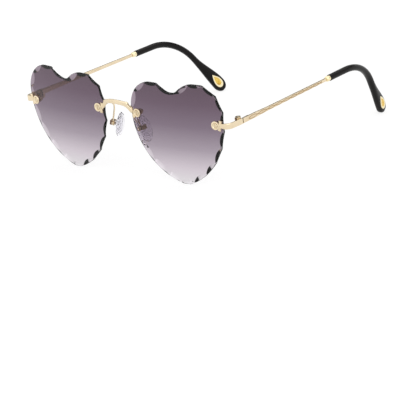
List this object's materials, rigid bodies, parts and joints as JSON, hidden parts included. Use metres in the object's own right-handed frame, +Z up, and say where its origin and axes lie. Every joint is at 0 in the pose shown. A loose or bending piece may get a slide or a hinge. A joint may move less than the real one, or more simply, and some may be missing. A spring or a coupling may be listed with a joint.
{
  "type": "sunglasses",
  "caption": "Rimless heart shaped sunglasses with tinted cut-edge lenses, a bridge screwed to the lenses, rocking nose pads and folding temples with paddle tips.",
  "frame": {"origin": "on the table, in the middle of the box round the whole object with the temples open", "axes": "+X to the wearer's left, +Y back towards the ears, +Z up from the table"},
  "size_m": [0.1396, 0.1424, 0.0526],
  "materials": {
    "tinted_lens": "polished plastic, tinted dark at the top and fading to nearly clear at the bottom",
    "gold_metal": "polished pale champagne gold plating",
    "clear_plastic": "clear plastic",
    "clear_silicone": "soft clear silicone",
    "black_plastic": "gloss black acetate",
    "gold_enamel": "bright rim round an amber gold field"
  },
  "bodies": {
    "front_frame": {"left_lens": "tinted_lens", "right_lens": "tinted_lens", "bridge": "gold_metal", "left_outer_lens_screw": "gold_metal", "left_outer_lens_sleeve": "clear_plastic", "left_outer_washer": "gold_metal", "left_outer_cap_nut": "gold_metal", "left_inner_lens_screw": "gold_metal", "left_inner_lens_sleeve": "clear_plastic", "left_inner_washer": "gold_metal", "left_inner_cap_nut": "gold_metal", "left_pad_arm": "gold_metal", "left_pad_box": "gold_metal", "left_pad_screw": "gold_metal", "left_endpiece": "gold_metal", "left_front_hinge": "gold_metal", "left_hinge_screw": "gold_metal", "right_outer_lens_screw": "gold_metal", "right_outer_lens_sleeve": "clear_plastic", "right_outer_washer": "gold_metal", "right_outer_cap_nut": "gold_metal", "right_inner_lens_screw": "gold_metal", "right_inner_lens_sleeve": "clear_plastic", "right_inner_washer": "gold_metal", "right_inner_cap_nut": "gold_metal", "right_pad_arm": "gold_metal", "right_pad_box": "gold_metal", "right_pad_screw": "gold_metal", "right_endpiece": "gold_metal", "right_front_hinge": "gold_metal", "right_hinge_screw": "gold_metal"},
    "left_temple_arm": {"left_temple_hinge": "gold_metal", "left_temple": "gold_metal", "left_collar": "gold_metal", "left_temple_tip": "black_plastic", "left_drop_inlay": "gold_enamel"},
    "left_nose_pad_unit": {"left_pad_insert": "clear_plastic", "left_nose_pad": "clear_silicone"},
    "right_temple_arm": {"right_temple_hinge": "gold_metal", "right_temple": "gold_metal", "right_collar": "gold_metal", "right_temple_tip": "black_plastic", "right_drop_inlay": "gold_enamel"},
    "right_nose_pad_unit": {"right_pad_insert": "clear_plastic", "right_nose_pad": "clear_silicone"}
  },
  "joints": [
    {"name": "left_temple_fold", "type": "hinge", "parent": "front_frame", "child": "left_temple_arm", "pos_m": [0.06682, -0.0539, 0.0329], "axis": [0, 0, 1], "range_deg": [0, 82]},
    {"name": "right_temple_fold", "type": "hinge", "parent": "front_frame", "child": "right_temple_arm", "pos_m": [-0.06682, -0.0539, 0.0329], "axis": [0, 0, 1], "range_deg": [-87, 0]},
    {"name": "left_nose_pad_rock", "type": "hinge", "parent": "front_frame", "child": "left_nose_pad_unit", "pos_m": [0.0104, -0.0616, 0.0257], "axis": [0.297, 0.9511, 0.0852], "range_deg": [-8, 8]},
    {"name": "right_nose_pad_rock", "type": "hinge", "parent": "front_frame", "child": "right_nose_pad_unit", "pos_m": [-0.0104, -0.0616, 0.0257], "axis": [-0.297, 0.9511, 0.0852], "range_deg": [-8, 8]}
  ]
}
